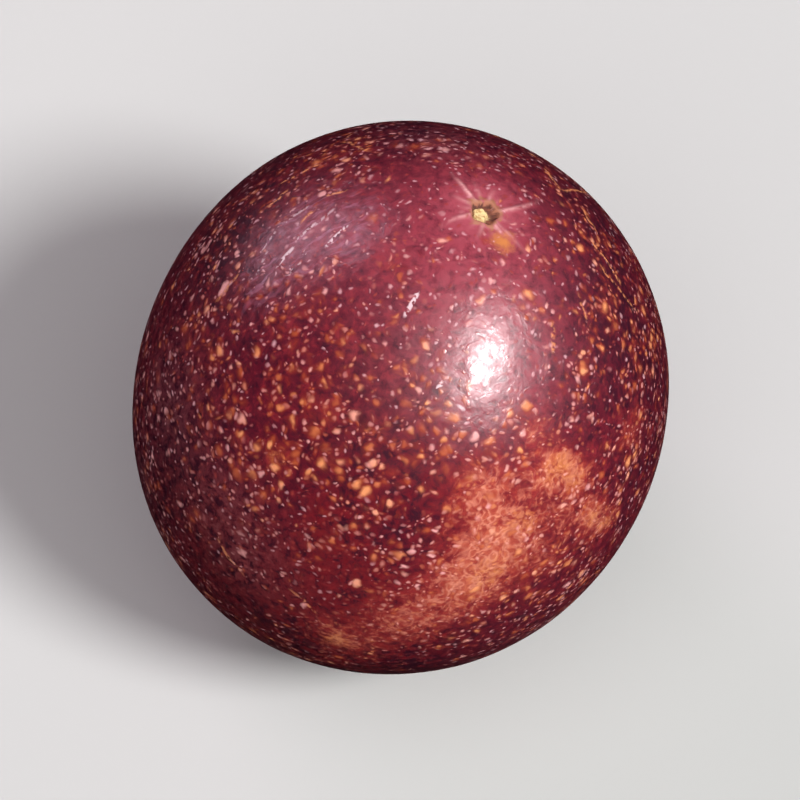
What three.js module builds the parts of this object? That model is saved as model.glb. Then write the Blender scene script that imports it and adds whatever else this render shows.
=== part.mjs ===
// A whole, ripe purple passion fruit, standing on the small flat spot that its weight presses into the rind.
// Millimetres, +Z up. The origin lies on the surface it stands on, under the middle of the fruit's box.
// The fruit grew as one piece, so it is one closed mesh: the rind, the torn stem scar and the blossom tip.

import * as THREE from "three";

const { degToRad, smoothstep } = THREE.MathUtils;

// The body is an ovoid about its own axis, which runs from the blossom tip up to the stem scar.
const DIAMETER = 58;
const LENGTH = 65.5;
const STEM_END_REACH = 0.4; // how much longer the stem half is than the blossom half
const LEAN = degToRad(21); // of the axis, away from upright
const LEAN_HEADING = degToRad(39.5); // the way the stem end leans, from +X towards +Y

// The rind is not quite round: three shallow lobes, one to each carpel, and slow swells.
const LOBES = 3;
const LOBE_HEIGHT = 0.14;
const LOBE_TURN = degToRad(20);
const SWELLS = [
  { height: 0.17, waves: new THREE.Vector3(2.3, 0.6, 1.4), phase: 0.4 },
  { height: 0.13, waves: new THREE.Vector3(-1.2, 3.1, 1.9), phase: 2.1 },
  { height: 0.08, waves: new THREE.Vector3(3.6, -2.7, 3.3), phase: 4.4 },
];

// Around the stem scar the rind draws in, and low pleats run out from it. Headings are in degrees, and
// a pleat has turned by its bend where it ends.
const PUCKER_DEPTH = 0.5;
const PUCKER_RADIUS = 3.6;
const PLEAT_START = 2;
const PLEAT_WIDTH = 0.4;
const PLEATS = [
  { heading: 19, reach: 8.4, height: 0.12, bend: 14 },
  { heading: 52, reach: 3.6, height: 0.06, bend: 0 },
  { heading: 76, reach: 4.1, height: 0.09, bend: -8 },
  { heading: 99, reach: 5.2, height: 0.06, bend: 5 },
  { heading: 125, reach: 6.8, height: 0.16, bend: -4 },
  { heading: 148, reach: 4.3, height: 0.08, bend: 6 },
  { heading: 172, reach: 3.5, height: 0.05, bend: 0 },
  { heading: 199, reach: 6.2, height: 0.12, bend: 12 },
  { heading: 238, reach: 3.6, height: 0.05, bend: -6 },
  { heading: 262, reach: 4.6, height: 0.07, bend: -10 },
  { heading: 303, reach: 3.9, height: 0.09, bend: 8 },
  { heading: 318, reach: 7.4, height: 0.06, bend: -4 },
  { heading: 346, reach: 3.7, height: 0.05, bend: 0 },
];

// The scar itself is a small five-cornered crater with a lip, and the torn end of the stalk stands in it.
const CRATER_RADIUS = 1.4;
const CRATER_DEPTH = 0.34;
const CORNERS = 5;
const CORNER_SHARE = 0.08; // of the radius, by which a corner stands out
const CORNER_REACH = 6.5;
const LIP_HEIGHT = 0.16;
const LIP_WIDTH = 0.4;
const STUB_RADIUS = 0.8;
const STUB_HEIGHT = 0.5; // above the crater's floor
const STUB_HOLLOW = 0.12; // in the middle of its top
const STUB_OFFSET = 0.5; // from the middle of the crater
const STUB_HEADING = degToRad(200);
const WALL = 0.35; // how far across a steep wall of the scar runs

// The blossom tip is a low dry button with a pinprick in it, where the styles fell away.
const TIP_RADIUS = 1.1;
const TIP_HEIGHT = 0.28;
const TIP_PIT_RADIUS = 0.45;
const TIP_PIT_DEPTH = 0.22;

// The flat spot is pressed in from below, and what comes within a hair of the surface lies on it too.
const PRESS_DEPTH = 0.55;
const HAIR = 0.12;

// The mesh has rings from the stem scar down to the blossom tip, close together at both ends.
const RINGS = 72;
const SEGMENTS = 72;
const RING_CROWDING = 0.88; // 0 spreads the rings evenly, 1 would crowd them fully to the ends

const RADIUS = DIAMETER / 2;
const HALF_LENGTH = LENGTH / 2;

// One point of the plain ovoid, with the outward direction there.
function ovoid(polar, around) {
  const across = Math.sin(polar);
  const along = Math.cos(polar);
  const reach = HALF_LENGTH + (STEM_END_REACH / 2) * along;
  const flatRound = new THREE.Vector3(Math.cos(around), Math.sin(around), 0);
  const point = flatRound.clone().multiplyScalar(RADIUS * across).setZ(reach * along);
  const outward = flatRound.multiplyScalar(across / RADIUS).setZ(along / reach).normalize();
  return { point, outward };
}

// Height of the slow unevenness of the rind, along a unit direction from the fruit's middle.
function unevenness(direction) {
  const around = Math.atan2(direction.y, direction.x);
  const across = Math.hypot(direction.x, direction.y);
  const lobes = LOBE_HEIGHT * Math.cos(LOBES * (around - LOBE_TURN)) * across ** 3;
  const swells = SWELLS.map(({ height, waves, phase }) => height * Math.sin(waves.dot(direction) + phase));
  return swells.reduce((sum, swell) => sum + swell, lobes);
}

// A bell of height 1.
function hump(offset, width) {
  return Math.exp(-((offset / width) ** 2));
}

// Height of one pleat: a ridge that runs out from the scar, sinks and ends.
function pleat(distance, around, { heading, reach, height, bend }) {
  const turn = around - degToRad(heading) - degToRad(bend) * (distance / reach) ** 2;
  if (Math.cos(turn) <= 0) return 0;
  const grows = smoothstep(distance, CRATER_RADIUS, PLEAT_START);
  const fades = 1 - smoothstep(distance, 0.4 * reach, reach);
  return height * hump(distance * Math.sin(turn), PLEAT_WIDTH) * grows * fades;
}

// Height of the drawn-in rind and its pleats round the stem scar.
function pucker(distance, around) {
  const hollow = -PUCKER_DEPTH * hump(distance, PUCKER_RADIUS);
  return PLEATS.reduce((sum, ridge) => sum + pleat(distance, around, ridge), hollow);
}

// Height of the torn stub, the crater round it and the crater's lip.
function scar(distance) {
  const inside = (radius) => 1 - smoothstep(distance, radius - WALL / 2, radius + WALL / 2);
  const stub = STUB_HEIGHT * inside(STUB_RADIUS) - STUB_HOLLOW * hump(distance, STUB_RADIUS / 2);
  const lip = LIP_HEIGHT * hump(distance - CRATER_RADIUS - LIP_WIDTH / 2, LIP_WIDTH);
  return stub - CRATER_DEPTH * inside(CRATER_RADIUS) + lip;
}

// How far a point by the scar moves sideways: onto the corners, and with the stub off the axis.
function sideways(distance, around) {
  const byScar = 1 - smoothstep(distance, CRATER_RADIUS, CORNER_REACH);
  const outwards = distance * CORNER_SHARE * Math.cos(CORNERS * around) * byScar;
  const withStub = STUB_OFFSET * (1 - smoothstep(distance, STUB_RADIUS, CRATER_RADIUS));
  return new THREE.Vector3(
    outwards * Math.cos(around) + withStub * Math.cos(STUB_HEADING),
    outwards * Math.sin(around) + withStub * Math.sin(STUB_HEADING),
    0,
  );
}

// Height of the blossom tip's button.
function tip(distance) {
  const button = TIP_HEIGHT * Math.exp(-((distance / TIP_RADIUS) ** 4));
  return button - TIP_PIT_DEPTH * hump(distance, TIP_PIT_RADIUS);
}

// One point of the rind, before the fruit leans.
function rind(polar, around) {
  const { point, outward } = ovoid(polar, around);
  const distance = Math.hypot(point.x, point.y);
  const height = unevenness(point.clone().normalize());
  if (point.z < 0) return point.addScaledVector(outward, height + tip(distance));
  const stemEnd = height + pucker(distance, around) + scar(distance);
  return point.add(sideways(distance, around)).addScaledVector(outward, stemEnd);
}

// Polar angle of a ring, with the rings crowded to both ends.
function ringAngle(ring) {
  const share = ring / RINGS;
  return Math.PI * (share - (RING_CROWDING * Math.sin(2 * Math.PI * share)) / (2 * Math.PI));
}

// Points of the upright rind: the stem end's middle, every ring, then the blossom tip's middle.
function rindPoints() {
  const points = [rind(0, 0)];
  for (let ring = 1; ring < RINGS; ring += 1) {
    for (let segment = 0; segment < SEGMENTS; segment += 1) {
      points.push(rind(ringAngle(ring), (2 * Math.PI * segment) / SEGMENTS));
    }
  }
  points.push(rind(Math.PI, 0));
  return points;
}

// Triangles of the closed rind, facing out.
function rindFaces() {
  const at = (ring, segment) => 1 + (ring - 1) * SEGMENTS + (segment % SEGMENTS);
  const last = 1 + (RINGS - 1) * SEGMENTS;
  const faces = [];
  for (let segment = 0; segment < SEGMENTS; segment += 1) {
    faces.push(0, at(1, segment), at(1, segment + 1));
    for (let ring = 1; ring < RINGS - 1; ring += 1) {
      const [a, b] = [at(ring, segment), at(ring, segment + 1)];
      const [c, d] = [at(ring + 1, segment), at(ring + 1, segment + 1)];
      faces.push(a, c, b, b, c, d);
    }
    faces.push(last, at(RINGS - 1, segment + 1), at(RINGS - 1, segment));
  }
  return faces;
}

// Leans the axis away from upright.
function lean(points) {
  const hinge = new THREE.Vector3(-Math.sin(LEAN_HEADING), Math.cos(LEAN_HEADING), 0);
  points.forEach((point) => point.applyAxisAngle(hinge, LEAN));
}

// Presses the underside flat at a level.
function press(points, level) {
  points.forEach((point) => {
    if (point.z < level + HAIR) point.z = level;
  });
}

// The finished fruit, placed so that its flat spot is at Z = 0.
function passionFruit() {
  const points = rindPoints();
  lean(points);
  const lowest = Math.min(...points.map((point) => point.z));
  press(points, lowest + PRESS_DEPTH);
  const box = new THREE.Box3().setFromPoints(points);
  const middle = box.getCenter(new THREE.Vector3());

  const geometry = new THREE.BufferGeometry().setFromPoints(points);
  geometry.setIndex(rindFaces());
  geometry.translate(-middle.x, -middle.y, -box.min.z);
  geometry.computeVertexNormals();

  const material = new THREE.MeshStandardMaterial({ color: 0x6b2331, roughness: 0.4, metalness: 0 });
  const mesh = new THREE.Mesh(geometry, material);
  mesh.name = "passion_fruit";
  return mesh;
}

const group = new THREE.Group();
group.add(passionFruit());

export default group;
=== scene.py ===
"""Looks of a whole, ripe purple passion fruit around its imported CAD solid. Blender 4.5, metres, +Z up."""

from math import cos, pi, radians, sin

import bpy
import numpy as np
from mathutils import Matrix, Quaternion, Vector, noise


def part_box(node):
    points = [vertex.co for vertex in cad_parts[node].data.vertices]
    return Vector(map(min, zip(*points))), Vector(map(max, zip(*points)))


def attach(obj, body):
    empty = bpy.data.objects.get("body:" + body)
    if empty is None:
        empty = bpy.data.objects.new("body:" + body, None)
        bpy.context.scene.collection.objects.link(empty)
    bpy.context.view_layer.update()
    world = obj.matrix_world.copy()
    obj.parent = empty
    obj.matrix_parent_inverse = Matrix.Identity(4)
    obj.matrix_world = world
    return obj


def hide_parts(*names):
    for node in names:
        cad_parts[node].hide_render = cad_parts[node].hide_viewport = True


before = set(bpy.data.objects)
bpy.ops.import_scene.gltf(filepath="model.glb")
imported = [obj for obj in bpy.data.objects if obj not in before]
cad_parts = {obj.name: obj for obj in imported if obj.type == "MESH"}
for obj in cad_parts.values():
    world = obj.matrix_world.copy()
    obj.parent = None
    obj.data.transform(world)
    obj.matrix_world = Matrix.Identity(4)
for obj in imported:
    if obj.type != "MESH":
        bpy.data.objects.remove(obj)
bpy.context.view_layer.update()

NODE = "passion_fruit"
MM = 0.001

# The fruit is worked out in millimetres, upright, with the stem scar on top, and has the solid's sizes:
# an ovoid that leans, with three shallow lobes and slow swells.
RADIUS = 29.0
HALF_LENGTH = 32.75
STEM_END_REACH = 0.4
LEAN = radians(21)
LEAN_HEADING = radians(39.5)

LOBES = 3
LOBE_HEIGHT = 0.14
LOBE_TURN = radians(20)

# Each swell: height, waves along the three axes, and phase.
SWELLS = [
    (0.17, (2.3, 0.6, 1.4), 0.4),
    (0.13, (-1.2, 3.1, 1.9), 2.1),
    (0.08, (3.6, -2.7, 3.3), 4.4),
]

# Round the stem scar the rind draws in. The scar is a five-cornered crater with a lip, and the torn
# stub of the stalk stands in it.
PUCKER_DEPTH = 0.5
PUCKER_RADIUS = 3.6
CRATER_RADIUS = 1.4
CRATER_DEPTH = 0.34
CORNERS = 5
CORNER_SHARE = 0.08
CORNER_REACH = 6.5
LIP_HEIGHT = 0.16
LIP_WIDTH = 0.4
STUB_RADIUS = 0.8
STUB_HEIGHT = 0.5
STUB_HOLLOW = 0.12
STUB_OFFSET = 0.5
STUB_HEADING = radians(200)
WALL = 0.35

# The blossom tip is a low dry button with a pinprick in it.
TIP_RADIUS = 1.1
TIP_HEIGHT = 0.28
TIP_PIT_RADIUS = 0.45
TIP_PIT_DEPTH = 0.22

# The flat spot that the fruit stands on.
PRESS_DEPTH = 0.55
PRESS_EDGE = 0.1

# Pleats run out from the stem scar: heading in degrees, reach, height, how pale the pleat is, and
# the degrees by which it has turned at its end.
PLEAT_START = 2.0
PLEAT_FULL = 0.4  # share of its reach to which a pleat keeps its height
PLEAT_WIDTH = 0.4
RAY_WIDTH = 0.25
PLEATS = [
    (19, 8.4, 0.12, 0.7, 14),
    (52, 3.6, 0.06, 0.3, 0),
    (76, 4.1, 0.09, 0.55, -8),
    (99, 5.2, 0.06, 0.35, 5),
    (125, 6.8, 0.16, 1.0, -4),
    (148, 4.3, 0.08, 0.5, 6),
    (172, 3.5, 0.05, 0.3, 0),
    (199, 6.2, 0.12, 0.65, 12),
    (238, 3.6, 0.05, 0.25, -6),
    (262, 4.6, 0.07, 0.4, -10),
    (303, 3.9, 0.09, 0.75, 8),
    (318, 7.4, 0.06, 0.35, -4),
    (346, 3.7, 0.05, 0.25, 0),
]

# Slow faint dents make the rind's gloss waver.
DENT_HEIGHT = 0.05
DENT_WIDTH = 7.0

# The fine mesh. The segments are a multiple of four, so that the texture map's seams run along edges.
RINGS = 250
SEGMENTS = 384
RING_CROWDING = 0.85
MAP_HALF = 0.498  # of the texture map's side: a thin edge of the map stays free
SEAM_HAIR = 1e-9  # keeps the ring on the widest circle in the map's upper half

# Soft patches: angle from the stem end and heading in degrees, radius, strength. Blush and amber are
# orange, and red, rosy, dark, painted sheen and haze change the ground. Rosy is partly the rind's own
# pink and partly painted light, which lightens the ground under the highlight and the sheen. On gold
# patches more of the specks are orange. Dense patches have more specks, and bare ones have fewer.
PATCHES = {
    "blush": [
        (58, -82, 4.5, 0.75),
        (69, -76, 5.5, 1),
        (80, -80, 5, 0.9),
        (91, -89, 5.5, 0.7),
        (104, -100, 5, 0.65),
        (54, -64, 2.8, 0.8),
        (58, -57, 2.6, 0.8),
        (69, -51, 2.6, 0.7),
        (74, -45, 2.8, 0.7),
        (64, -58, 5, 0.45),
        (77, -62, 5, 0.4),
        (46, -69, 2.2, 0.6),
        (57, -34, 3, 0.6),
        (68, -130, 2, 0.5),
        (55, -128, 3.5, 0.4),
        (23, -144, 2.6, 0.4),
        (118, 20, 6, 0.6),
        (128, 40, 5, 0.5),
        (75, 95, 5, 0.5),
        (84, 110, 4, 0.6),
        (140, -150, 6, 0.5),
    ],
    "amber": [
        (7.7, -62, 1.5, 1),
        (55, -62, 2, 0.6),
        (59, -57, 1.6, 0.6),
        (70, -50, 1.6, 0.5),
        (74, -45, 1.8, 0.5),
        (77, -76, 3, 0.5),
        (65, -71, 2.5, 0.5),
        (68, -130, 1.3, 0.5),
        (105, -101, 3, 0.45),
        (120, 24, 2.5, 0.5),
        (82, 108, 2, 0.5),
    ],
    "red": [
        (97, -124, 8, 0.7),
        (110, -108, 8, 0.8),
        (87, -100, 7, 0.7),
        (91, -140, 6, 0.6),
        (75, -112, 6, 0.6),
        (60, -95, 7, 0.4),
        (110, 70, 12, 0.6),
        (140, -60, 10, 0.6),
        (109, -88, 8, 0.8),
    ],
    "gold": [
        (32, -14, 8, 0.9),
        (31, -44, 5, 0.5),
        (47, -20, 8, 0.9),
        (24, 16, 5, 0.6),
        (62, -30, 6, 0.7),
        (43, -146, 7, 0.6),
        (66, -134, 6, 0.7),
        (72, -161, 5, 0.6),
        (112, -85, 9, 0.7),
        (39, 143, 5, 0.5),
        (80, 60, 9, 0.6),
        (100, 150, 9, 0.6),
        (120, -30, 9, 0.6),
    ],
    # Rosy is partly own pink, partly painted light: ground lightened under the highlight and sheen.
    "rosy": [
        (3, -130, 7.5, 1),
        (17, -98, 10, 0.8),
        (33, -86, 8, 0.85),
        (35, 180, 6, 0.6),
        (100, 60, 10, 0.4),
        (130, -40, 9, 0.4),
    ],
    "dark": [
        (56, 171, 6, 0.7),
        (61, -114, 6, 0.5),
        (68, -99, 5, 0.5),
        (39, -37, 5, 0.6),
        (31, -14, 7, 0.8),
        (23, -38, 5, 0.8),
        (34, -46, 5, 0.7),
        (46, -14, 6, 0.6),
        (24, 24, 5, 0.6),
        (37, 108, 7, 0.6),
        (114, -84, 9, 0.9),
        (104, -114, 6, 0.5),
        (68, -32, 4, 0.6),
        (111, -113, 5, 0.6),
        (46, -53, 3, 0.6),
        (95, -150, 8, 0.7),
        (70, 130, 9, 0.7),
        (95, 0, 9, 0.6),
        (130, 120, 10, 0.7),
    ],
    # Painted sheen: pale lilac streaks that stand for reflected light.
    "painted_sheen": [
        (42, -175, 3.5, 0.9),
        (34, -174, 3.5, 0.9),
        (50, -169, 3, 0.7),
        (34, 175, 3.5, 0.7),
        (28, 178, 3, 0.5),
        (100, 100, 6, 0.6),
        (80, 20, 6, 0.5),
    ],
    "haze": [
        (81, -163, 6, 0.8),
        (87, -137, 6, 0.7),
        (26, 110, 5, 0.7),
        (107, -163, 5, 0.6),
        (94, -126, 5, 0.6),
        (42, -174, 6, 0.5),
        (104, -54, 4, 0.5),
        (60, 70, 8, 0.6),
        (115, 170, 9, 0.6),
    ],
    "dense": [
        (45, -136, 9, 0.9),
        (62, -103, 7, 0.8),
        (77, -64, 9, 1),
        (32, -14, 6, 0.9),
        (30, -42, 5, 0.5),
        (25, 14, 4, 0.8),
        (34, 142, 5, 0.7),
        (50, 153, 5, 0.6),
        (69, -140, 6, 0.6),
        (48, -101, 6, 0.7),
        (64, -166, 6, 0.5),
        (75, 40, 12, 0.8),
        (100, 120, 12, 0.8),
        (120, -20, 12, 0.8),
    ],
    "bare": [
        (1, 50, 9, 1),
        (27, -89, 6, 0.7),
        (79, 171, 5, 0.5),
        (24, -155, 7, 0.6),
        (35, 180, 6, 0.5),
        (24, -47, 6, 0.6),
        (14, 150, 8, 0.6),
        (89, -113, 6, 0.7),
        (110, -104, 6, 0.5),
        (72, 78, 8, 0.6),
        (110, 150, 9, 0.6),
        (60, 130, 6, 0.5),
        (105, -20, 7, 0.6),
        (179, 0, 3.5, 0.8),
        (112, -84, 8, 0.6),
        (99, -119, 7, 0.7),
    ],
}

# Thin broken threads: angle and heading in degrees of both ends, and strength.
THREADS = [
    (47, 156, 39, 147, 0.9),
    (47, 165, 44, 160, 0.9),
    (40, 133, 31, 137, 0.7),
    (34, 168, 30, 165, 0.8),
    (39, 176, 36, 173, 0.8),
    (60, -172, 54, -175, 0.7),
    (28, 53, 25, 38, 0.8),
    (26, 38, 46, 40, 0.8),
    (28, 26, 29, 14, 0.8),
    (26, 7, 35, -5, 1),
    (29, -6, 41, -10, 0.7),
    (26, -31, 31, -37, 0.6),
    (94, -134, 98, -126, 0.6),
    (94, -115, 97, -108, 0.6),
    (70, 60, 84, 66, 0.45),
    (88, 96, 96, 84, 0.45),
    (112, -170, 120, 178, 0.35),
    (62, 100, 68, 112, 0.35),
    (22.2, 156, 21.9, 153, 1),
    (58.8, -161, 57.6, -160, 1),
    (27.5, -55, 32.7, -58, 0.7),
]
THREAD_WIDTH = 0.3

# Short painted glints: pale streaks that stand for reflected light, most of them in the sheen and
# round the highlight; the last two, on the far side, are pale marks. Given in the same way.
PAINTED_GLINTS = [
    (45.3, -170, 40.5, -174, 0.9),
    (34.2, -168, 28.6, -175, 0.8),
    (39.3, -168, 37.9, -171, 0.8),
    (32.8, 167, 28.4, 157, 0.35),
    (30.2, -123, 24.4, -124.5, 0.85),
    (40.6, -102, 38.1, -100, 0.7),
    (42, -94.5, 43, -91, 0.6),
    (48, -178, 44, 176, 0.5),
    (43, 175, 37, 170, 0.5),
    (40, -176, 35, 179, 0.6),
    (44, -165, 39, -167, 0.5),
    (36, -179, 31, 174, 0.5),
    (50, -171, 46, -178, 0.5),
    (86, 30, 80, 37, 0.6),
    (104, 140, 99, 148, 0.6),
]
PAINTED_GLINT_WIDTH = 0.5


def smoothstep(value, low, high):
    """0 below low, 1 above high, and smooth between."""
    share = np.clip((value - low) / (high - low), 0, 1)
    return share * share * (3 - 2 * share)


def hump(offset, width):
    """A bell of height 1."""
    return np.exp(-((offset / width) ** 2))


def ovoid(polar, around):
    """Points of the plain upright ovoid for arrays of angles, with the outward direction at each."""
    across, along = np.sin(polar), np.cos(polar)
    reach = HALF_LENGTH + STEM_END_REACH / 2 * along
    headings = np.cos(around), np.sin(around)
    point = np.stack([RADIUS * across * heading for heading in headings] + [reach * along], axis=-1)
    outward = np.stack([across / RADIUS * heading for heading in headings] + [along / reach], axis=-1)
    return point, outward / np.linalg.norm(outward, axis=-1, keepdims=True)


def unevenness(point):
    """Height of the slow unevenness of the rind."""
    unit = point / np.linalg.norm(point, axis=-1, keepdims=True)
    around = np.arctan2(unit[:, 1], unit[:, 0])
    across = np.hypot(unit[:, 0], unit[:, 1])
    height = LOBE_HEIGHT * np.cos(LOBES * (around - LOBE_TURN)) * across**3
    for swell, waves, phase in SWELLS:
        height += swell * np.sin(unit @ np.array(waves) + phase)
    return height


def dents(point):
    """Height of the faint dents."""
    return DENT_HEIGHT * np.array([noise.noise(Vector(place)) for place in point / DENT_WIDTH])


def pleat(distance, around, heading, reach, bend, width):
    """Share of one pleat at each point: 1 along its ridge by the scar, 0 beside and beyond it."""
    turn = around - radians(heading) - radians(bend) * (distance / reach) ** 2
    beside = hump(distance * np.sin(turn), width) * (np.cos(turn) > 0)
    grows = smoothstep(distance, CRATER_RADIUS, PLEAT_START)
    fades = 1 - smoothstep(distance, PLEAT_FULL * reach, reach)
    return beside * grows * fades


def scar(distance):
    """Height of the torn stub, the crater round it and the crater's lip."""
    def inside(radius):
        return 1 - smoothstep(distance, radius - WALL / 2, radius + WALL / 2)

    stub = STUB_HEIGHT * inside(STUB_RADIUS) - STUB_HOLLOW * hump(distance, STUB_RADIUS / 2)
    lip = LIP_HEIGHT * hump(distance - CRATER_RADIUS - LIP_WIDTH / 2, LIP_WIDTH)
    return stub - CRATER_DEPTH * inside(CRATER_RADIUS) + lip


def stem_end(distance, around):
    """Height of all that is round the stem scar."""
    ridges = sum(
        height * pleat(distance, around, heading, reach, bend, PLEAT_WIDTH)
        for heading, reach, height, _, bend in PLEATS
    )
    return ridges - PUCKER_DEPTH * hump(distance, PUCKER_RADIUS) + scar(distance)


def blossom_end(distance):
    """Height of the dry button at the blossom tip."""
    button = TIP_HEIGHT * np.exp(-((distance / TIP_RADIUS) ** 4))
    return button - TIP_PIT_DEPTH * hump(distance, TIP_PIT_RADIUS)


def sideways(distance, around):
    """How far points by the scar move sideways: onto its corners, and with the stub off the axis."""
    by_scar = 1 - smoothstep(distance, CRATER_RADIUS, CORNER_REACH)
    outwards = distance * CORNER_SHARE * np.cos(CORNERS * around) * by_scar
    with_stub = STUB_OFFSET * (1 - smoothstep(distance, STUB_RADIUS, CRATER_RADIUS))
    along_x = outwards * np.cos(around) + with_stub * cos(STUB_HEADING)
    along_y = outwards * np.sin(around) + with_stub * sin(STUB_HEADING)
    return np.stack([along_x, along_y, np.zeros_like(distance)], axis=-1)


def rind(polar, around):
    """Points of the upright rind for arrays of angles."""
    point, outward = ovoid(polar, around)
    distance = np.hypot(point[:, 0], point[:, 1])
    stem_half = point[:, 2] > 0
    ends = np.where(stem_half, stem_end(distance, around), blossom_end(distance))
    height = unevenness(point) + dents(point) + ends
    return point + sideways(distance, around) * stem_half[:, None] + outward * height[:, None]


def press(points, level):
    """Presses the underside flat at a level, with a soft edge."""
    height = points[:, 2]
    eased = level + np.clip(height - level + PRESS_EDGE, 0, None) ** 2 / (4 * PRESS_EDGE)
    points[:, 2] = np.where(height < level + PRESS_EDGE, eased, height)


def stand(points):
    """Leans the fruit, presses its flat spot and stands it in the CAD node's box, in metres."""
    hinge = Vector((-sin(LEAN_HEADING), cos(LEAN_HEADING), 0))
    points = points @ np.array(Matrix.Rotation(LEAN, 3, hinge)).T
    press(points, points[:, 2].min() + PRESS_DEPTH)
    points *= MM
    low, high = (np.array(corner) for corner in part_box(NODE))
    points[:, :2] += (low + high)[:2] / 2 - (points[:, :2].min(0) + points[:, :2].max(0)) / 2
    points[:, 2] += low[2] - points[:, 2].min()
    return points


def ring_angles():
    """Polar angle of every ring, with the rings crowded to both ends."""
    share = np.arange(RINGS + 1) / RINGS
    return pi * (share - RING_CROWDING * np.sin(2 * pi * share) / (2 * pi))


def vertex(ring, segment):
    """Number of a vertex: one at the stem end, then those on each ring, then one at the blossom tip."""
    if ring == 0:
        return 0
    if ring == RINGS:
        return 1 + (RINGS - 1) * SEGMENTS
    return 1 + (ring - 1) * SEGMENTS + segment % SEGMENTS


def grid_faces():
    """Corners of every face as (ring, segment), facing out: three at the ends, four elsewhere."""
    faces = []
    for segment in range(SEGMENTS):
        following = segment + 1
        faces.append([(0, segment), (1, segment), (1, following)])
        for ring in range(1, RINGS - 1):
            below = ring + 1
            faces.append([(ring, segment), (below, segment), (below, following), (ring, following)])
        faces.append([(RINGS, segment), (RINGS - 1, following), (RINGS - 1, segment)])
    return faces


def map_place(polar, around, quarter):
    """Place on the texture map: the sphere unfolded to a square by way of an octahedron, areas kept."""
    share = np.sqrt(1 - np.abs(np.cos(polar)))
    turn = (around - quarter * pi / 2) / (pi / 2)
    turn = np.where(quarter % 2 == 1, 1 - turn, turn)
    right, up = (1 - turn) * share, turn * share
    below = polar > pi / 2 + SEAM_HAIR
    right, up = np.where(below, 1 - up, right), np.where(below, 1 - right, up)
    side_x = np.where((quarter == 0) | (quarter == 3), 1, -1)
    side_y = np.where(quarter < 2, 1, -1)
    return np.stack([0.5 + MAP_HALF * side_x * right, 0.5 + MAP_HALF * side_y * up], axis=-1)


def add_map(mesh, faces, angles):
    """Gives the mesh its texture map."""
    corners = np.array([corner for face in faces for corner in face])
    first = np.array([min(segment for _, segment in face) for face in faces for _ in face])
    quarter = first * 4 // SEGMENTS
    places = map_place(angles[corners[:, 0]], 2 * pi * corners[:, 1] / SEGMENTS, quarter)
    mesh.uv_layers.new(name="OFBake").data.foreach_set("uv", places.ravel())


def patch_share(points, patches):
    """Strength of soft round patches at points of the ovoid, where overlaps never pass 1."""
    left = np.ones(len(points))
    for polar, heading, radius, strength in patches:
        middle, _ = ovoid(np.radians([polar]), np.radians([heading]))
        left *= 1 - strength * hump(np.linalg.norm(points - middle, axis=-1), radius)
    return 1 - left


def paint(mesh, polar, around):
    """Keeps on every vertex its place on the plain ovoid, and how much of each patch it has."""
    point, _ = ovoid(polar, around)
    places = mesh.attributes.new("place", "FLOAT_VECTOR", "POINT")
    places.data.foreach_set("vector", point.ravel())
    shares = {name: patch_share(point, patches) for name, patches in PATCHES.items()}
    distance = np.hypot(point[:, 0], point[:, 1])
    rays = [
        pale * pleat(distance, around, heading, reach, bend, RAY_WIDTH)
        for heading, reach, _, pale, bend in PLEATS
    ]
    shares["ray"] = np.max(rays, axis=0) * (point[:, 2] > 0)
    for name, share in shares.items():
        mesh.attributes.new(name, "FLOAT", "POINT").data.foreach_set("value", share)


def fine_fruit():
    """The fruit's fine mesh in the place of the CAD node."""
    angles = ring_angles()
    turns = 2 * pi * np.arange(SEGMENTS) / SEGMENTS
    polar = np.concatenate([[0], np.repeat(angles[1:-1], SEGMENTS), [pi]])
    around = np.concatenate([[0], np.tile(turns, RINGS - 1), [0]])
    faces = grid_faces()
    numbers = [[vertex(*corner) for corner in face] for face in faces]
    mesh = bpy.data.meshes.new("rind")
    mesh.from_pydata(stand(rind(polar, around)).tolist(), [], numbers)
    add_map(mesh, faces, angles)
    paint(mesh, polar, around)
    mesh.shade_smooth()
    fruit = bpy.data.objects.new("rind", mesh)
    bpy.context.scene.collection.objects.link(fruit)
    return fruit


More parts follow.
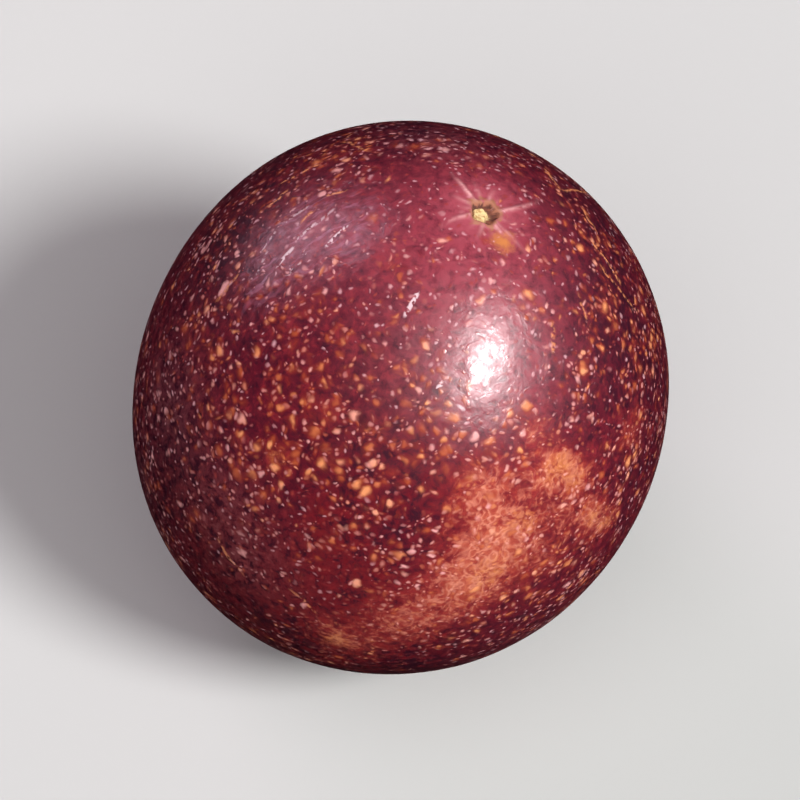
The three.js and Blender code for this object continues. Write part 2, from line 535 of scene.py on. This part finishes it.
class Recipe:
    """A material that is built by short calls, each of which adds nodes and gives back a socket."""

    def __init__(self, name):
        self.material = bpy.data.materials.new(name)
        self.material.use_nodes = True
        self.nodes = self.material.node_tree.nodes
        self.shader = self.nodes["Principled BSDF"]

    def feed(self, node, inputs):
        """Links the sockets among the inputs, and sets the rest as values."""
        for name, value in inputs.items():
            if isinstance(value, bpy.types.NodeSocket):
                self.material.node_tree.links.new(value, node.inputs[name])
            else:
                node.inputs[name].default_value = value

    def node(self, kind, inputs, **settings):
        """A node with its settings and its inputs."""
        node = self.nodes.new("ShaderNode" + kind)
        for setting, value in settings.items():
            setattr(node, setting, value)
        self.feed(node, inputs)
        return node

    def attribute(self, name):
        """What the mesh keeps under a name: an attribute node."""
        return self.node("Attribute", {}, attribute_name=name)

    def share(self, name):
        """How much of a kind of patch a place has."""
        return self.attribute(name).outputs["Fac"]

    def math(self, operation, *values):
        """A number worked out from others."""
        return self.node("Math", dict(enumerate(values)), operation=operation).outputs[0]

    def times(self, one, other):
        """One number times the other."""
        return self.math("MULTIPLY", one, other)

    def scaled(self, value, scale, start):
        """The value times the scale, plus the start."""
        return self.math("MULTIPLY_ADD", value, scale, start)

    def vector(self, operation, *values, result="Vector"):
        """A vector worked out from others, or with "Value" as the result, a number."""
        node = self.node("VectorMath", dict(enumerate(values)), operation=operation)
        return node.outputs[result]

    def ease(self, value, low, high, most=1.0):
        """0 at low, most at high, and smooth between."""
        inputs = {"Value": value, "From Min": low, "From Max": high, "To Max": most}
        return self.node("MapRange", inputs, interpolation_type="SMOOTHSTEP").outputs["Result"]

    def within(self, distance, radius, edge, most=1.0):
        """0 outside a radius, most inside it. The edge says how far from the radius both are reached."""
        outer, inner = edge
        return self.ease(distance, radius + outer, radius + inner, most)

    def ragged(self, distance, noise, reach):
        """A distance, made ragged by noise over a reach."""
        return self.scaled(noise, reach, self.math("SUBTRACT", distance, reach / 2))

    def noise(self, place, size, detail=2.0, roughness=0.5):
        """Noise with features of about a size in millimetres, around 0.5."""
        inputs = {"Vector": place, "Scale": 1 / size, "Detail": detail, "Roughness": roughness}
        return self.node("TexNoise", inputs).outputs["Fac"]

    def warp(self, place, size, reach):
        """The place, pushed about by noise by up to about a reach."""
        inputs = {"Vector": place, "Scale": 1 / size, "Detail": 2.0}
        push = self.node("TexNoise", inputs).outputs["Color"]
        centred = self.vector("SUBTRACT", push, (0.5, 0.5, 0.5))
        return self.vector("MULTIPLY_ADD", centred, (reach * 2,) * 3, place)

    def mix(self, share, low, high):
        """A colour between two, as (red, green, blue) or sockets."""
        low, high = ((*colour, 1) if isinstance(colour, tuple) else colour for colour in (low, high))
        return self.node("Mix", {0: share, 6: low, 7: high}, data_type="RGBA").outputs[2]

    def specks(self, place, spacing, smallest, largest, presence):
        """Round specks, up to one to a cell: each place's share of one and of its glow, and its tint."""
        inputs = {"Vector": self.vector("ADD", place, CELL_SHIFT), "Scale": 1 / spacing}
        cells = self.node("TexVoronoi", inputs)
        room = self.node("TexVoronoi", inputs, feature="N_SPHERE_RADIUS").outputs["Radius"]
        chance = self.node("SeparateColor", {"Color": cells.outputs["Color"]}).outputs
        span = {"Value": chance[0], "To Min": smallest, "To Max": largest}
        wanted = self.node("MapRange", span).outputs[0]
        radius = self.math("MINIMUM", wanted, self.times(room, ROOM_USED))
        present = self.ease(chance[1], presence, self.math("SUBTRACT", presence, SPECK_FADE))
        part = self.math("DIVIDE", cells.outputs["Distance"], radius)
        speck = self.times(self.ease(part, *SPECK_EDGE), present)
        glow = self.times(self.ease(part, *GLOW_EDGE), present)
        return speck, glow, chance[2]


# ---------------------------------------------------------------- the rind's colours
# The ground, with its painted sheen streaks and haze.
BASE_DARK = (0.042, 0.004, 0.014)
BASE_MID = (0.11, 0.006, 0.017)
BASE_LIGHT = (0.23, 0.014, 0.024)
BASE_RED = (0.2, 0.005, 0.007)
# Rosy ground, partly painted light under the highlight and the sheen.
ROSY_AND_LIT = (0.34, 0.053, 0.08)
PAINTED_SHEEN = (0.52, 0.19, 0.29)
PLUM_HAZE = (0.21, 0.085, 0.1)

# The blush, its lace and the amber on it.
BLUSH_RED = (0.34, 0.024, 0.021)
BLUSH_ORANGE = (0.64, 0.155, 0.082)
BLUSH_PALE = (0.88, 0.42, 0.3)
AMBER = (0.65, 0.23, 0.06)

# Pores, specks and painted glints.
PORE = (0.76, 0.39, 0.43)
PORE_RED = (0.34, 0.04, 0.035)
SPECK_GLOW = (0.3, 0.03, 0.016)
SPECK_ORANGE = (0.62, 0.13, 0.04)
SPECK_PEACH = (0.85, 0.3, 0.12)
SPECK_PINK = (0.78, 0.33, 0.32)
# Painted glint: the pale pink of reflected light.
GLINT_PAINT = (0.85, 0.62, 0.66)

# The stem scar, and the halo that the tip has too.
HALO = (0.44, 0.085, 0.115)
RAY = (0.8, 0.38, 0.38)
LIP = (0.38, 0.17, 0.07)
CRATER = (0.06, 0.009, 0.005)
CRATER_PALE = (0.2, 0.055, 0.028)
STUB = (0.8, 0.58, 0.27)
STUB_SHADE = (0.46, 0.26, 0.09)

# The blossom tip.
TIP = (0.19, 0.085, 0.04)
TIP_PALE = (0.4, 0.24, 0.12)
TIP_PIT = (0.03, 0.012, 0.006)

# ---------------------------------------------------------------- the rind's patterns
# Sizes, reaches, edges and raggedness are in millimetres. A span says where a share starts and where it
# is full, and most is how strong it is there.

# The bends that make most patterns less regular, and the finer ones of the specks: size and reach.
BEND = (2.5, 0.8)
CURL = (1.0, 0.3)

# The painted sheen: pale lilac streaks that stand for reflected light. They are noise that is drawn
# out one way, because the place it is read at is squashed along it.
PAINTED_SHEEN_DIRECTION = Vector((0.7, 0.31, 0.64)).normalized()
PAINTED_SHEEN_SQUASH = 0.8
PAINTED_SHEEN_SIZE = 0.7
PAINTED_SHEEN_SPAN = (0.5, 0.68)
PAINTED_SHEEN_MOST = 0.5

# The ground's tone, and what slow noise, mottle and patches add to it.
TONE_START = -0.2
SLOW_SIZE = 9.0
SLOW_TONE = 0.4
MOTTLE_SIZE = 1.1
MOTTLE_TONE = 1.7
ROSY_AND_LIT_TONE = 0.15
DARK_TONE = -0.25
MID_SPAN = (0.5, 0.9)
LIGHT_SPAN = (0.85, 1.25)
RED_SPAN = (0.45, 0.95)
RED_MOST = 0.8
ROSY_AND_LIT_SPAN = (0.1, 0.65)
ROSY_AND_LIT_MOST = 0.9
HAZE_SPAN = (0.35, 0.7)
HAZE_MOST = 0.5

# The blush is broken up by noise. Its lace lies where another noise is close to its middle.
BREAK_SIZE = 1.3
BREAK_STRENGTH = 1.3
BLUSH_SPAN = (0.1, 0.9)
BLUSH_MOST = 0.9
LACE_SIZE = 1.1
LACE_BAND = 0.12
LACE_ORANGE = 0.12
ORANGE_SPAN = (0.5, 1.35)
ORANGE_MOST = 0.95
PALE_MOST = 0.4
AMBER_SPAN = (0.2, 1.0)
AMBER_MOST = 0.85

# Specks lie one or none to a cell, and the shift of the cells sets where they fall. Their presence goes
# with clumps and patches, and those whose chance comes close to it are faint. A speck's radius is at most
# ROOM_USED times the way to its cell's nearest side. Its edge and its glow's are in shares of the radius.
CELL_SHIFT = (11, -7, 5)
ROOM_USED = 1.08
SPECK_FADE = 0.3
SPECK_EDGE = (1.1, 0.2)
GLOW_EDGE = (1.8, 0.7)
CLUMP_SIZE = 6.0
SMALL_CLUMP_SIZE = 2.6
PRESENCE_START = -2.1
CLUMP_PRESENCE = 2.6
DENSE_PRESENCE = 0.5

# A speck is pink where its warmth is low, and orange in a dull red glow where it is high. Specks with
# more tint are dimmer, and so are those on haze. The brighter orange ones are peach.
WARMTH_SIZE = 5.0
DENSE_WARMTH = 0.25
GOLD_WARMTH = 0.35
HAZE_WARMTH = -0.5
WARM_SPAN = (0.7, 1.2)
GLOW_MOST = 0.45
HAZE_CLEAR = -0.4
TINT_DIM = -0.6
PEACH_SPAN = (0.5, 1.0)

# Layers of specks: spacing, smallest and largest radius as shares of it, strength, and how much pinker
# the layer is.
SPECK_LAYERS = [
    (0.8, 0.25, 0.6, 0.75, 0.3),
    (1.1, 0.2, 0.6, 1.0, 0.05),
    (1.6, 0.2, 0.5, 1.35, -0.1),
]

# Pores: spacing, smallest and largest radius as shares of it, and presence. Their paleness goes with the
# clumps and with each pore's tint. They are weaker on bare and on red patches.
PORES = (0.8, 0.26, 0.56, 1.3)
CLUMP_PALENESS = 0.8
TINT_OFFSET = 0.8
RED_PALENESS = -0.35
PALE_SPAN = (0.25, 0.75)
PORE_PEACH = 0.8
BARE_PORES = -0.25
RED_PORES = -0.4
PORE_MOST = 0.8
PORE_RISE = 0.5  # as a share of a speck's

# Threads and painted glints are broken into beads.
BEAD_SIZE = 0.55
BEAD_SPAN = (0.36, 0.56)
LINE_FADE = 0.6
PAINTED_GLINT_SPAN = (0.2, 0.75)
PAINTED_GLINT_MOST = 0.8

# Round the stem scar. An edge is how far from the solid's radius a colour starts and is full.
HALO_SIZE = 0.9
HALO_RAGGED = 6.0
HALO_EDGE = (5.0, 0.0)
HALO_MOST = 0.75
RAY_SIZE = 0.9
RAY_SPAN = (0.25, 0.55)
LIP_SIZE = 0.8
LIP_RAGGED = 3.0
LIP_EDGE = (0.9, 0.0)
LIP_MOST = 0.7
SCAR_SIZE = 0.6
SCAR_RAGGED = 0.9
EARTH_SPAN = (0.4, 0.6)
CRATER_EDGE = (0.1, -0.2)
CRATER_MOST = 0.9
FIBRE_SIZE = 0.35
FIBRE_SPAN = (0.35, 0.55)
STUB_EDGE = (0.25, -0.1)

# The blossom tip, in the same way.
TIP_SIZE = 0.5
TIP_RAGGED = 0.9
DRY_SPAN = (0.4, 0.65)
TIP_HALO_EDGE = (1.6, 0.0)
TIP_HALO_MOST = 0.5
TIP_EDGE = (0.5, -0.1)
TIP_MOST = 0.9
TIP_PIT_FULL = 0.1

# What the distance from one end's axis gains on the fruit's other half.
FAR_OFF = 100.0

# The fine relief.
WAVE_SIZE = 2.5
WAVE_HEIGHT = 0.1
GRAIN_SIZE = 1.0
GRAIN_HEIGHT = 0.03
SPECK_HEIGHT = 0.022
LACE_HEIGHT = 0.004

# The wax: its least roughness and what noise adds, and a thin gloss coat over it. Both ends of the fruit
# are dry, which is rougher and has no coat.
ROUGHNESS = 0.24
ROUGHNESS_SIZE = 1.2
ROUGHNESS_NOISE = 0.25
DRY_ROUGHNESS = 0.5
STEM_WAX_REACH = 0.8
TIP_WAX_REACH = 0.6
COAT_SIZE = 0.9
COAT_SPAN = (0.3, 0.75)
COAT_MOST = 0.55
COAT_ROUGHNESS = 0.15


def painted_sheen_share(recipe, place):
    """How much painted sheen, in fine pale streaks that all run one way, each place has."""
    along = recipe.vector("DOT_PRODUCT", place, PAINTED_SHEEN_DIRECTION, result="Value")
    back = {0: PAINTED_SHEEN_DIRECTION, "Scale": recipe.times(along, -PAINTED_SHEEN_SQUASH)}
    pull = recipe.node("VectorMath", back, operation="SCALE").outputs["Vector"]
    noise = recipe.noise(recipe.vector("ADD", place, pull), PAINTED_SHEEN_SIZE)
    return recipe.times(recipe.ease(noise, *PAINTED_SHEEN_SPAN, PAINTED_SHEEN_MOST), recipe.share("painted_sheen"))


def ground_colour(recipe, place, bent):
    """The ground without its specks: its streaks are painted sheen, its rosy part partly painted light."""
    slow = recipe.noise(place, SLOW_SIZE, detail=3.0)
    mottle = recipe.noise(bent, MOTTLE_SIZE, detail=3.0, roughness=0.7)
    rosy = recipe.share("rosy")
    tone = recipe.scaled(slow, SLOW_TONE, recipe.scaled(mottle, MOTTLE_TONE, TONE_START))
    tone = recipe.scaled(rosy, ROSY_AND_LIT_TONE, tone)
    tone = recipe.scaled(recipe.share("dark"), DARK_TONE, tone)

    colour = recipe.mix(recipe.ease(tone, *MID_SPAN), BASE_DARK, BASE_MID)
    colour = recipe.mix(recipe.ease(tone, *LIGHT_SPAN), colour, BASE_LIGHT)
    redder = recipe.times(recipe.share("red"), recipe.ease(tone, *RED_SPAN, RED_MOST))
    colour = recipe.mix(redder, colour, BASE_RED)
    # Rosy ground: partly own pink, partly painted light that lightens it under the highlight and sheen.
    rosier_and_lit = recipe.times(rosy, recipe.ease(mottle, *ROSY_AND_LIT_SPAN))
    colour = recipe.mix(recipe.times(rosier_and_lit, ROSY_AND_LIT_MOST), colour, ROSY_AND_LIT)
    hazy = recipe.times(recipe.share("haze"), recipe.ease(mottle, *HAZE_SPAN))
    colour = recipe.mix(recipe.times(hazy, HAZE_MOST), colour, PLUM_HAZE)
    # Painted sheen: lilac streaks of reflected light, painted into the ground colour.
    return recipe.mix(painted_sheen_share(recipe, bent), colour, PAINTED_SHEEN)


def blush_colour(recipe, bent, colour):
    """Adds the orange-red blush with the amber on it, and gives back how much lace each place has."""
    uneven = recipe.noise(bent, BREAK_SIZE, detail=3.0, roughness=0.7)
    broken = recipe.scaled(uneven, BREAK_STRENGTH, -BREAK_STRENGTH / 2)
    blush = recipe.math("ADD", recipe.share("blush"), broken)
    colour = recipe.mix(recipe.ease(blush, *BLUSH_SPAN, BLUSH_MOST), colour, BLUSH_RED)
    off_middle = recipe.math("SUBTRACT", recipe.noise(bent, LACE_SIZE, detail=1.0), 0.5)
    lace = recipe.ease(recipe.math("ABSOLUTE", off_middle), LACE_BAND, 0.0)
    orange = recipe.ease(recipe.scaled(lace, LACE_ORANGE, blush), *ORANGE_SPAN, ORANGE_MOST)
    colour = recipe.mix(orange, colour, BLUSH_ORANGE)
    laced = recipe.times(recipe.times(orange, lace), PALE_MOST)
    colour = recipe.mix(laced, colour, BLUSH_PALE)
    amber = recipe.math("ADD", recipe.share("amber"), broken)
    return recipe.mix(recipe.ease(amber, *AMBER_SPAN, AMBER_MOST), colour, AMBER), lace


def pore_colour(recipe, curled, clumps, colour):
    """Adds the fine pores, redder on red patches and peach on the blush, and gives back their share."""
    pore, _, tint = recipe.specks(curled, *PORES)
    paleness = recipe.scaled(clumps, CLUMP_PALENESS, recipe.math("SUBTRACT", tint, TINT_OFFSET))
    paleness = recipe.scaled(recipe.share("red"), RED_PALENESS, paleness)
    pale = recipe.mix(recipe.ease(paleness, *PALE_SPAN), PORE_RED, PORE)
    pale = recipe.mix(recipe.times(recipe.share("blush"), PORE_PEACH), pale, SPECK_PEACH)
    strength = recipe.scaled(recipe.share("bare"), BARE_PORES, 1.0)
    strength = recipe.scaled(recipe.share("red"), RED_PORES, strength)
    pore = recipe.times(pore, strength)
    return recipe.mix(recipe.times(pore, PORE_MOST), colour, pale), pore


def layer_colour(recipe, curled, layer, presence, warm, clear, colour):
    """Adds one layer of specks, and gives back how much of one each place has."""
    spacing, smallest, largest, strength, pinker = layer
    speck, glow, tint = recipe.specks(curled, spacing, smallest, largest, presence)
    starts, full = WARM_SPAN
    warmth = recipe.ease(recipe.math("ADD", tint, warm), starts + pinker, full + pinker)
    colour = recipe.mix(recipe.times(recipe.times(glow, warmth), GLOW_MOST), colour, SPECK_GLOW)
    bright = recipe.times(recipe.scaled(tint, TINT_DIM * strength, strength), clear)
    orange = recipe.mix(recipe.ease(bright, *PEACH_SPAN), SPECK_ORANGE, SPECK_PEACH)
    pale = recipe.mix(warmth, SPECK_PINK, orange)
    return recipe.mix(recipe.times(speck, bright), colour, pale), speck


def line_share(recipe, place, lines, width):
    """How much of the nearest of some thin lines each place has."""
    strongest = 0.0
    for polar, heading, end_polar, end_heading, strength in lines:
        ends, _ = ovoid(np.radians([polar, end_polar]), np.radians([heading, end_heading]))
        across = Vector(np.cross(*ends)).normalized()
        middle = Vector(ends.mean(axis=0))
        half = (Vector(ends[0]) - middle).length
        offset = recipe.vector("DOT_PRODUCT", place, across, result="Value")
        beside = recipe.ease(recipe.math("ABSOLUTE", offset), width, 0.0)
        along = recipe.vector("DISTANCE", place, middle, result="Value")
        within = recipe.ease(along, half + LINE_FADE, half - LINE_FADE, strength)
        strongest = recipe.math("MAXIMUM", strongest, recipe.times(beside, within))
    return strongest


def mark_colour(recipe, place, bent, colour):
    """Adds the threads and the painted glints, and gives back how much of one each place has."""
    beads = recipe.ease(recipe.noise(place, BEAD_SIZE, detail=1.0), *BEAD_SPAN)
    thread = recipe.times(line_share(recipe, bent, THREADS, THREAD_WIDTH), beads)
    colour = recipe.mix(thread, colour, SPECK_PEACH)
    # Painted glints: pale streaks that stand for reflected light.
    glint = recipe.times(line_share(recipe, place, PAINTED_GLINTS, PAINTED_GLINT_WIDTH), beads)
    glint = recipe.ease(glint, *PAINTED_GLINT_SPAN, PAINTED_GLINT_MOST)
    return recipe.mix(glint, colour, GLINT_PAINT), recipe.math("MAXIMUM", thread, glint)


def speck_colour(recipe, place, bent, colour):
    """Adds the pores, specks, threads and painted glints, and gives back how much of one each place has."""
    dense = recipe.math("SUBTRACT", recipe.share("dense"), recipe.share("bare"))
    clump = recipe.noise(place, CLUMP_SIZE, detail=1.0)
    clumps = recipe.math("ADD", clump, recipe.noise(bent, SMALL_CLUMP_SIZE, detail=1.0))
    presence = recipe.scaled(clumps, CLUMP_PRESENCE, PRESENCE_START)
    presence = recipe.scaled(dense, DENSE_PRESENCE, presence)
    warm = recipe.noise(place, WARMTH_SIZE, detail=1.0)
    for patch, warmer in [("dense", DENSE_WARMTH), ("gold", GOLD_WARMTH), ("haze", HAZE_WARMTH)]:
        warm = recipe.scaled(recipe.share(patch), warmer, warm)
    clear = recipe.scaled(recipe.share("haze"), HAZE_CLEAR, 1.0)

    curled = recipe.warp(bent, *CURL)
    colour, pore = pore_colour(recipe, curled, clumps, colour)
    every = recipe.times(pore, PORE_RISE)
    for layer in SPECK_LAYERS:
        colour, speck = layer_colour(recipe, curled, layer, presence, warm, clear, colour)
        every = recipe.math("MAXIMUM", every, speck)
    colour, mark = mark_colour(recipe, place, bent, colour)
    return colour, recipe.math("MAXIMUM", every, mark)


def axis_distance(recipe, place, half):
    """Distance from the axis on one half, 1 for the stem's and -1 for the blossom's, and far off it."""
    parts = recipe.node("SeparateXYZ", {"Vector": place}).outputs
    flat = recipe.node("CombineXYZ", {"X": parts[0], "Y": parts[1]}).outputs[0]
    distance = recipe.vector("LENGTH", flat, result="Value")
    beyond = recipe.math("LESS_THAN", recipe.times(parts[2], half), 0.0)
    return recipe.scaled(beyond, FAR_OFF, distance)


def halo_colour(recipe, bent, distance, colour):
    """Adds the rosy halo round the stem scar."""
    uneven = recipe.noise(bent, HALO_SIZE, detail=3.0, roughness=0.6)
    broken = recipe.scaled(uneven, HALO_RAGGED, -HALO_RAGGED / 2)
    far = recipe.math("ADD", distance, broken)
    return recipe.mix(recipe.within(far, CRATER_RADIUS, HALO_EDGE, HALO_MOST), colour, HALO)


def scar_colour(recipe, bent, distance, colour):
    """Adds the pale rays round the stem scar, its tan lip, its brown crater and its cream stub."""
    broken = recipe.ease(recipe.noise(bent, RAY_SIZE), *RAY_SPAN)
    colour = recipe.mix(recipe.times(recipe.share("ray"), broken), colour, RAY)
    by_lip = recipe.ragged(distance, recipe.noise(bent, LIP_SIZE), LIP_RAGGED)
    colour = recipe.mix(recipe.within(by_lip, CRATER_RADIUS, LIP_EDGE, LIP_MOST), colour, LIP)

    uneven = recipe.noise(bent, SCAR_SIZE, detail=3.0, roughness=0.6)
    near = recipe.ragged(distance, uneven, SCAR_RAGGED)
    earthy = recipe.mix(recipe.ease(uneven, *EARTH_SPAN), CRATER, CRATER_PALE)
    crater = recipe.within(near, CRATER_RADIUS, CRATER_EDGE, CRATER_MOST)
    colour = recipe.mix(crater, colour, earthy)
    fibre = recipe.ease(recipe.noise(bent, FIBRE_SIZE), *FIBRE_SPAN)
    stub = recipe.mix(fibre, STUB_SHADE, STUB)
    return recipe.mix(recipe.within(near, STUB_RADIUS, STUB_EDGE), colour, stub)


def tip_colour(recipe, bent, distance, colour):
    """Adds the dry brown button at the blossom tip, with its dark pinprick."""
    uneven = recipe.noise(bent, TIP_SIZE, detail=3.0, roughness=0.6)
    near = recipe.ragged(distance, uneven, TIP_RAGGED)
    dry = recipe.mix(recipe.ease(uneven, *DRY_SPAN), TIP, TIP_PALE)
    halo = recipe.within(near, TIP_RADIUS, TIP_HALO_EDGE, TIP_HALO_MOST)
    colour = recipe.mix(halo, colour, HALO)
    colour = recipe.mix(recipe.within(near, TIP_RADIUS, TIP_EDGE, TIP_MOST), colour, dry)
    return recipe.mix(recipe.ease(near, TIP_PIT_RADIUS, TIP_PIT_FULL), colour, TIP_PIT)


def rind_bump(recipe, bent, speck, lace):
    """The fine relief: waves, grain, and what the specks and the blush's lace raise."""
    height = recipe.times(recipe.noise(bent, WAVE_SIZE, detail=1.0), WAVE_HEIGHT)
    height = recipe.scaled(recipe.noise(bent, GRAIN_SIZE), GRAIN_HEIGHT, height)
    height = recipe.scaled(speck, SPECK_HEIGHT, height)
    height = recipe.scaled(lace, LACE_HEIGHT, height)
    inputs = {"Height": height, "Distance": MM, "Strength": 1.0}
    return recipe.node("Bump", inputs).outputs["Normal"]


def rind_material():
    """The waxy, speckled rind."""
    recipe = Recipe("rind")
    place = recipe.attribute("place").outputs["Vector"]
    bent = recipe.warp(place, *BEND)
    distance = axis_distance(recipe, place, 1.0)
    tip_distance = axis_distance(recipe, place, -1.0)
    colour = ground_colour(recipe, place, bent)
    colour = halo_colour(recipe, bent, distance, colour)
    colour, lace = blush_colour(recipe, bent, colour)
    colour, speck = speck_colour(recipe, place, bent, colour)
    colour = scar_colour(recipe, bent, distance, colour)
    colour = tip_colour(recipe, bent, tip_distance, colour)

    waxy_stem = recipe.ease(distance, CRATER_RADIUS, CRATER_RADIUS + STEM_WAX_REACH)
    waxy_tip = recipe.ease(tip_distance, TIP_RADIUS, TIP_RADIUS + TIP_WAX_REACH)
    waxy = recipe.times(waxy_stem, waxy_tip)
    fine = recipe.scaled(recipe.noise(place, ROUGHNESS_SIZE, detail=3.0), ROUGHNESS_NOISE, ROUGHNESS)
    dry = recipe.math("ADD", fine, DRY_ROUGHNESS)
    coat = recipe.ease(recipe.noise(bent, COAT_SIZE), *COAT_SPAN, COAT_MOST)
    bump = rind_bump(recipe, bent, speck, lace)
    shader = {
        "Base Color": colour,
        "Roughness": recipe.scaled(waxy, -DRY_ROUGHNESS, dry),
        "Normal": bump,
        "Coat Weight": recipe.times(waxy, coat),
        "Coat Roughness": COAT_ROUGHNESS,
        "Coat Normal": bump,
    }
    recipe.feed(recipe.shader, shader)
    return recipe.material


# ---------------------------------------------------------------- the camera, the lights and the floor
FRUIT_MIDDLE = Vector((0, 0, 31.8 * MM))
CAMERA_ELEVATION = radians(65)
CAMERA_DISTANCE = 0.55
SENSOR = 36.0  # millimetres, like the lens
LENS = 226.0

KEY_DIRECTION = (0.544, -0.315, 0.778)
VEIL_DIRECTION = (0.544, -0.27, 0.778)
TOP_DIRECTION = (-0.1, -0.42, 1)
FILL_DIRECTION = (-0.587, 0.629, 0.51)
FILL_COLOUR = (1, 0.74, 0.94)

# Suns: power and spread. Boxes: width and height in metres, power, and roll.
KEY = (3.6, radians(16))
TOP = (1.45, radians(60))
KEY_GLOSS = (0.12, 0.26, 5.5, radians(-66))
VEIL_GLOSS = (0.32, 0.6, 3.2, radians(-66))
FILL = (0.3, 0.6, 1.5, radians(30))
BOX_DISTANCE = 0.7
SUN_DISTANCE = 2.0

BACKGROUND = (0.62, 0.62, 0.63, 1)
FLOOR_COLOUR = (0.5, 0.5, 0.49, 1)
FLOOR_ROUGHNESS = 0.8
FLOOR_HALF = 3.0


def make_camera():
    """A camera at the viewing angle, aimed at the fruit's middle."""
    camera = bpy.data.objects.new("camera", bpy.data.cameras.new("camera"))
    camera.data.sensor_width = SENSOR
    camera.data.lens = LENS
    towards = Vector((0, -cos(CAMERA_ELEVATION), sin(CAMERA_ELEVATION)))
    camera.location = FRUIT_MIDDLE + towards * CAMERA_DISTANCE
    camera.rotation_euler = (-towards).to_track_quat("-Z", "Y").to_euler()
    bpy.context.scene.collection.objects.link(camera)
    bpy.context.scene.camera = camera


def add_light(name, kind, direction, distance, power, roll=0.0):
    """A light that faces the fruit's middle from a direction."""
    light = bpy.data.objects.new(name, bpy.data.lights.new(name, kind))
    light.data.energy = power
    away = Vector(direction).normalized()
    light.location = FRUIT_MIDDLE + away * distance
    turned = (-away).to_track_quat("-Z", "Y") @ Quaternion((0, 0, 1), roll)
    light.rotation_euler = turned.to_euler()
    bpy.context.scene.collection.objects.link(light)
    return light


def soft_box(name, direction, width, height, power, roll):
    """A rectangular light close by, which shows in the gloss."""
    light = add_light(name, "AREA", direction, BOX_DISTANCE, power, roll)
    light.data.shape = "RECTANGLE"
    light.data.size = width
    light.data.size_y = height
    return light


def soft_sun(name, direction, power, spread):
    """Soft light that reaches all of the floor alike, and doesn't show in the gloss."""
    light = add_light(name, "SUN", direction, SUN_DISTANCE, power)
    light.data.angle = spread
    light.visible_glossy = False


def make_lights():
    """A key from the right, light from overhead, and a lilac fill from behind on the left."""
    soft_sun("key", KEY_DIRECTION, *KEY)
    soft_sun("top", TOP_DIRECTION, *TOP)
    key_gloss = soft_box("key_gloss", KEY_DIRECTION, *KEY_GLOSS)
    veil_gloss = soft_box("veil_gloss", VEIL_DIRECTION, *VEIL_GLOSS)
    for gloss_only in (key_gloss, veil_gloss):
        gloss_only.visible_diffuse = False
    fill = soft_box("fill", FILL_DIRECTION, *FILL)
    fill.data.color = FILL_COLOUR


def make_world():
    """A pale background, which the camera alone sees."""
    world = bpy.data.worlds.new("studio")
    world.use_nodes = True
    background = world.node_tree.nodes["Background"]
    background.inputs["Color"].default_value = BACKGROUND
    background.inputs["Strength"].default_value = 1.0
    world.cycles_visibility.diffuse = False
    world.cycles_visibility.glossy = False
    bpy.context.scene.world = world


def make_floor():
    """A plain pale floor, which doesn't show in the gloss."""
    mesh = bpy.data.meshes.new("floor")
    corners = [(x * FLOOR_HALF, y * FLOOR_HALF, 0) for x, y in ((-1, -1), (1, -1), (1, 1), (-1, 1))]
    mesh.from_pydata(corners, [], [(0, 1, 2, 3)])
    floor = bpy.data.objects.new("floor", mesh)
    material = bpy.data.materials.new("floor")
    material.use_nodes = True
    shader = material.node_tree.nodes["Principled BSDF"]
    shader.inputs["Base Color"].default_value = FLOOR_COLOUR
    shader.inputs["Roughness"].default_value = FLOOR_ROUGHNESS
    mesh.materials.append(material)
    bpy.context.scene.collection.objects.link(floor)
    floor.visible_glossy = False


make_camera()
make_world()
make_floor()
make_lights()
bpy.context.scene.view_settings.view_transform = "Standard"

fruit = fine_fruit()
fruit.data.materials.append(rind_material())
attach(fruit, "root")
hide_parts(NODE)
